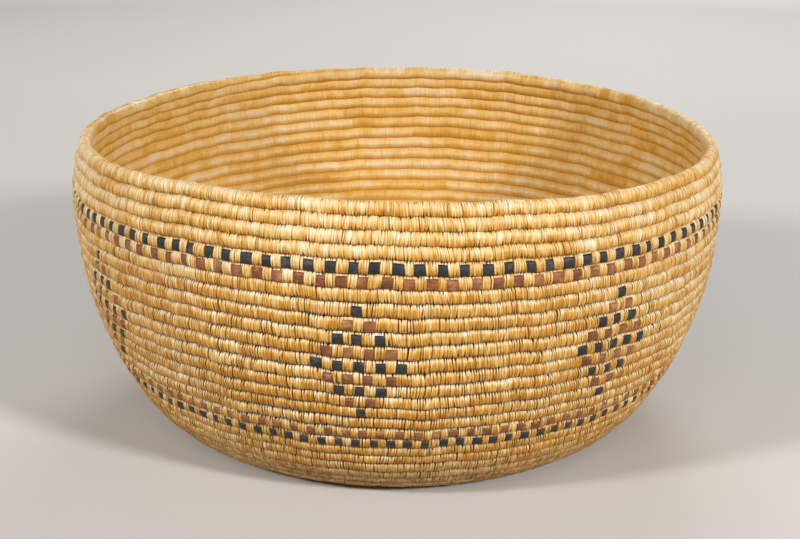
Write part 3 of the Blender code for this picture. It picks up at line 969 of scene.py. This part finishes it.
# The stage: a plain pale floor, a soft lamp on each side of the camera, weak ones above it and
# behind, and the camera where the photographer stood.
FLOOR_REACH = 6.0
FLOOR_PALE = colour(242, 239, 234)
FLOOR_MIDDLE = colour(210, 206, 201)
FLOOR_NEAR_LAMPS = colour(165, 162, 158)
FLOOR_AS_LIGHT = colour(180, 176, 172)  # as it lights the basket, and not as it is seen
BACKDROP = colour(196, 193, 189)
BACKDROP_NEAR = 1.7
BACKDROP_FAR = 2.8
TO_BACK = (0.8, 0.25)  # gain and start of the floor's change towards the back
TO_LAMPS = (-1.2, -0.54)  # and towards the lamps
ROOM_COLOUR = (0.88, 0.86, 0.84, 1)
ROOM_STRENGTH = 0.11  # dim as light, and as pale as the floor where it is seen
SEEN_ROOM_STRENGTH = 0.76
LAMPS = {
    # name: place, width, height and power
    "right lamp": ((1.33, -1.42, 1.0), 0.3, 0.3, 34),
    "left lamp": ((-1.5, -1.17, 1.1), 0.3, 0.3, 25),
    "front lamp": ((-0.3, -1.8, 1.7), 1.8, 0.3, 6),
    "back lamp": ((0.4, 1.9, 1.6), 1.2, 1.2, 18),
}
CAMERA_PLACE = (0, -0.7678, 0.3199)
CAMERA_PITCH = 0.3091
CAMERA_ROLL = 0.0068
CAMERA_LENS = 66.13
CAMERA_SHIFT = 0.0038
RAYS_SHOWN = ("Is Camera Ray", "Is Glossy Ray", "Is Transmission Ray")


def shown(tree):
    """One where the camera, a mirror or glass looks at the stage, and nothing for other light."""
    path = tree.nodes.new("ShaderNodeLightPath")
    straight, mirrored, through = (Socket(tree, path.outputs[name]) for name in RAYS_SHOWN)
    return (straight + mirrored + through).clamped()


floor_mesh = bpy.data.meshes.new("floor")
corners = [(-FLOOR_REACH, -FLOOR_REACH, 0), (FLOOR_REACH, -FLOOR_REACH, 0)]
corners += [(FLOOR_REACH, FLOOR_REACH, 0), (-FLOOR_REACH, FLOOR_REACH, 0)]
floor_mesh.from_pydata(corners, [], [(0, 1, 2, 3)])
floor_finish = Finish("pale floor", 0.9)
floor_place = floor_finish.node("ShaderNodeTexCoord", "Object")
back = floor_finish.node("ShaderNodeSeparateXYZ", "Y", {}, {"Vector": floor_place})
to_back, to_lamps = ((back * gain + start).clamped() for gain, start in (TO_BACK, TO_LAMPS))
floor_tone = floor_finish.mix(to_back, FLOOR_MIDDLE, FLOOR_PALE)
floor_tone = floor_finish.mix(to_lamps, floor_tone, FLOOR_NEAR_LAMPS)
seen = shown(floor_finish.tree)
floor_finish.feed("Base Color", floor_finish.mix(seen, FLOOR_AS_LIGHT, floor_tone))
# Past the lamps the floor shows as the pale backdrop that it runs into, without lighting things
settings = {"operation": "LENGTH"}
distance = floor_finish.node("ShaderNodeVectorMath", "Value", settings, {0: floor_place})
far = seen * ((distance - BACKDROP_NEAR) / (BACKDROP_FAR - BACKDROP_NEAR)).clamped()
floor_finish.feed("Emission Color", floor_finish.mix(far, colour(0, 0, 0), BACKDROP))
floor_finish.shader.inputs["Emission Strength"].default_value = 1
floor_mesh.materials.append(floor_finish.material)
floor = bpy.data.objects.new("floor", floor_mesh)
bpy.context.scene.collection.objects.link(floor)


def lamp(name, place, width, height, energy):
    """A soft flat lamp, oval or round, that faces the middle of the base."""
    light = bpy.data.lights.new(name, "AREA")
    light.shape = "ELLIPSE"
    light.size, light.size_y = width, height
    light.energy = energy
    holder = bpy.data.objects.new(name, light)
    bpy.context.scene.collection.objects.link(holder)
    holder.location = place
    holder.rotation_euler = Vector(place).to_track_quat("Z", "Y").to_euler()


for name, (place, width, height, energy) in LAMPS.items():
    lamp(name, place, width, height, energy)
world = bpy.data.worlds.new("soft room")
world.use_nodes = True
room = world.node_tree
room.nodes["Background"].inputs["Color"].default_value = ROOM_COLOUR
strength = ROOM_STRENGTH + shown(room) * (SEEN_ROOM_STRENGTH - ROOM_STRENGTH)
room.links.new(strength.link, room.nodes["Background"].inputs["Strength"])
bpy.context.scene.world = world

camera_data = bpy.data.cameras.new("camera")
camera_data.lens = CAMERA_LENS
camera_data.shift_x = CAMERA_SHIFT
camera = bpy.data.objects.new("camera", camera_data)
bpy.context.scene.collection.objects.link(camera)
pitched = Matrix.Rotation(np.pi / 2 - CAMERA_PITCH, 4, "X") @ Matrix.Rotation(CAMERA_ROLL, 4, "Z")
camera.matrix_world = Matrix.Translation(CAMERA_PLACE) @ pitched
bpy.context.scene.camera = camera
bpy.context.scene.view_settings.view_transform = "Standard"
